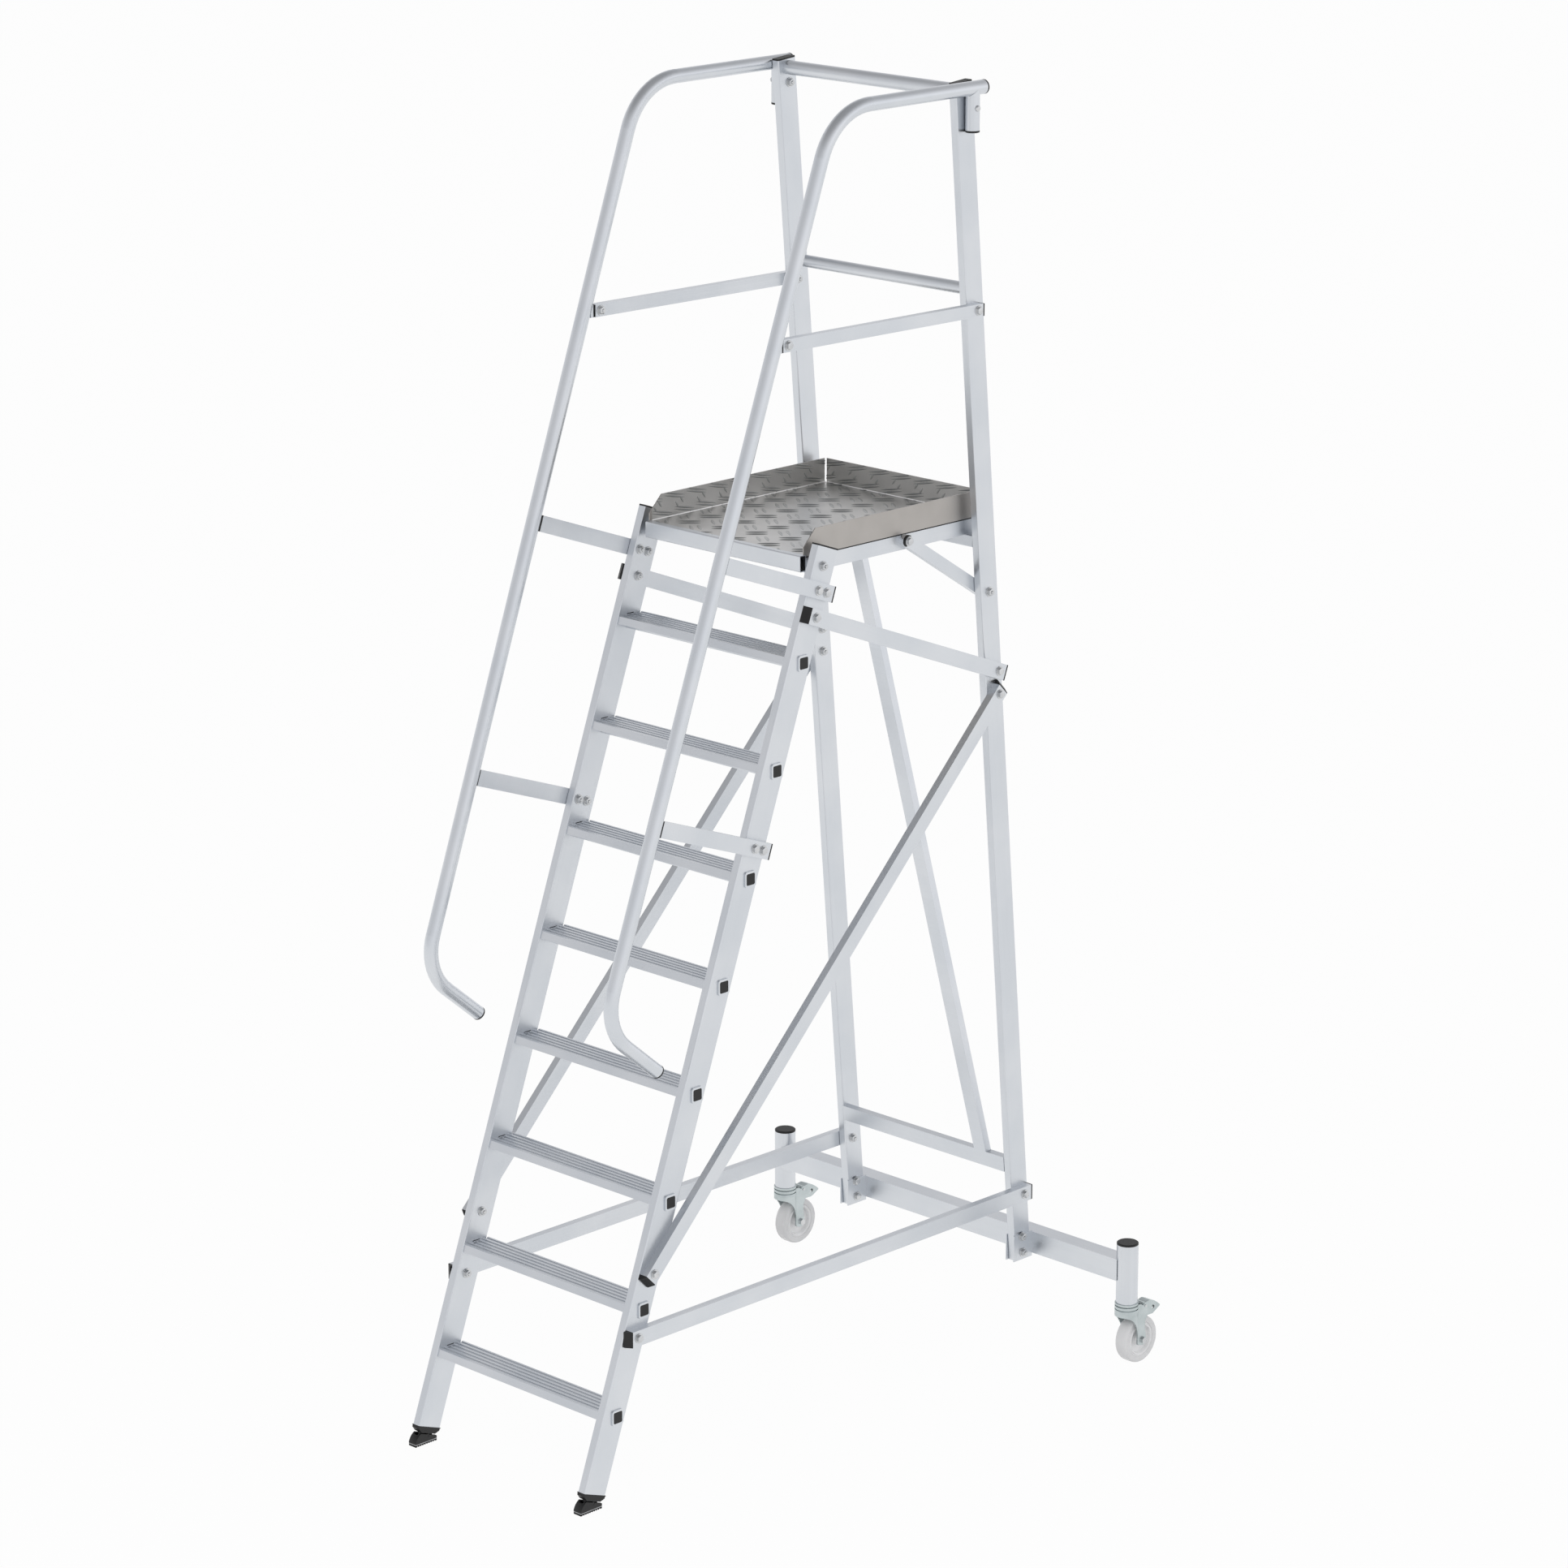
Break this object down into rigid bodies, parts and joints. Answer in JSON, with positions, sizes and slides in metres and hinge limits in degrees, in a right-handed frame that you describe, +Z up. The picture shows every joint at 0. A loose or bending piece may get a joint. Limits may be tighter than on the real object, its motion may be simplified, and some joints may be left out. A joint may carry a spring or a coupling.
{
  "type": "mobile platform ladder",
  "caption": "Mobile platform ladder with ribbed treads, guarded checker-plate platform, bent tube handrails, braked swivel casters and pivoting feet.",
  "frame": {"origin": "middle of the bounding box, on the floor", "axes": "+X to the climber's right when they face the treads, +Y from the feet towards the casters, +Z up"},
  "size_m": [1.287, 1.7546, 3.3067],
  "materials": {
    "aluminium": "mill-finish extruded aluminium, satin",
    "platform_sheet": "rolled checker-plate sheet, satin, warm grey",
    "black_plastic": "moulded black plastic, matte",
    "grey_plastic": "moulded grey plastic, matte",
    "black_rubber": "moulded black rubber",
    "bolt_steel": "plated steel fastener, satin",
    "zinc_plate": "zinc-plated pressed steel",
    "wheel_core": "natural polyamide, slightly translucent",
    "wheel_tyre": "pale non-marking tread"
  },
  "bodies": {
    "frame": {"stile_left": "aluminium", "stile_right": "aluminium", "tread_1": "aluminium", "tread_2": "aluminium", "tread_3": "aluminium", "tread_4": "aluminium", "tread_5": "aluminium", "tread_6": "aluminium", "tread_7": "aluminium", "tread_8": "aluminium", "tread_plugs": "black_plastic", "end_caps": "black_plastic", "foot_plugs": "black_plastic", "platform_tray": "platform_sheet", "platform_front_rail": "aluminium", "platform_side_rails": "aluminium", "platform_rear_rail": "aluminium", "platform_packing": "black_plastic", "platform_spacers": "aluminium", "platform_struts": "aluminium", "rear_post_left": "aluminium", "rear_post_right": "aluminium", "rear_top_rail": "aluminium", "rear_knee_rail": "aluminium", "rear_cross_bar": "aluminium", "rear_diagonal": "aluminium", "side_knee_rails": "aluminium", "handrail_left": "aluminium", "handrail_right": "aluminium", "handrail_arms": "aluminium", "rail_stubs": "aluminium", "round_caps": "black_plastic", "upper_braces": "aluminium", "diagonal_braces": "aluminium", "lower_braces": "aluminium", "bar_end_caps": "black_plastic", "base_beam": "aluminium", "caster_tubes": "aluminium", "post_brackets": "aluminium", "frame_bolts": "bolt_steel", "caster_heads": "zinc_plate"},
    "foot_left": {"foot_shoe_left": "black_plastic", "foot_shim_left": "grey_plastic", "foot_sole_left": "black_rubber"},
    "caster_left": {"caster_fork_left": "zinc_plate", "caster_axle_left": "bolt_steel"},
    "wheel_left": {"caster_hub_left": "wheel_core", "caster_tyre_left": "wheel_tyre"},
    "pedal_left": {"brake_pedal_left": "zinc_plate", "brake_pad_left": "black_rubber"},
    "foot_right": {"foot_shoe_right": "black_plastic", "foot_shim_right": "grey_plastic", "foot_sole_right": "black_rubber"},
    "caster_right": {"caster_fork_right": "zinc_plate", "caster_axle_right": "bolt_steel"},
    "wheel_right": {"caster_hub_right": "wheel_core", "caster_tyre_right": "wheel_tyre"},
    "pedal_right": {"brake_pedal_right": "zinc_plate", "brake_pad_right": "black_rubber"}
  },
  "joints": [
    {"name": "foot_pivot_left", "type": "hinge", "parent": "frame", "child": "foot_left", "pos_m": [-0.2965, -0.83617, 0.02117], "axis": [1, 0, 0], "range_deg": [-5, 5]},
    {"name": "caster_swivel_left", "type": "hinge", "parent": "frame", "child": "caster_left", "pos_m": [-0.612, 0.76175, 0.15], "axis": [0, 0, 1], "continuous": true},
    {"name": "wheel_spin_left", "type": "hinge", "parent": "caster_left", "child": "wheel_left", "pos_m": [-0.612, 0.80075, 0.0625], "axis": [1, 0, 0], "continuous": true},
    {"name": "brake_pedal_left", "type": "hinge", "parent": "caster_left", "child": "pedal_left", "pos_m": [-0.612, 0.80875, 0.154], "axis": [-1, 0, 0], "range_deg": [0, 9]},
    {"name": "foot_pivot_right", "type": "hinge", "parent": "frame", "child": "foot_right", "pos_m": [0.2965, -0.83617, 0.02117], "axis": [1, 0, 0], "range_deg": [-5, 5]},
    {"name": "caster_swivel_right", "type": "hinge", "parent": "frame", "child": "caster_right", "pos_m": [0.612, 0.76175, 0.15], "axis": [0, 0, 1], "continuous": true},
    {"name": "wheel_spin_right", "type": "hinge", "parent": "caster_right", "child": "wheel_right", "pos_m": [0.612, 0.80075, 0.0625], "axis": [1, 0, 0], "continuous": true},
    {"name": "brake_pedal_right", "type": "hinge", "parent": "caster_right", "child": "pedal_right", "pos_m": [0.612, 0.80875, 0.154], "axis": [-1, 0, 0], "range_deg": [0, 9]}
  ]
}
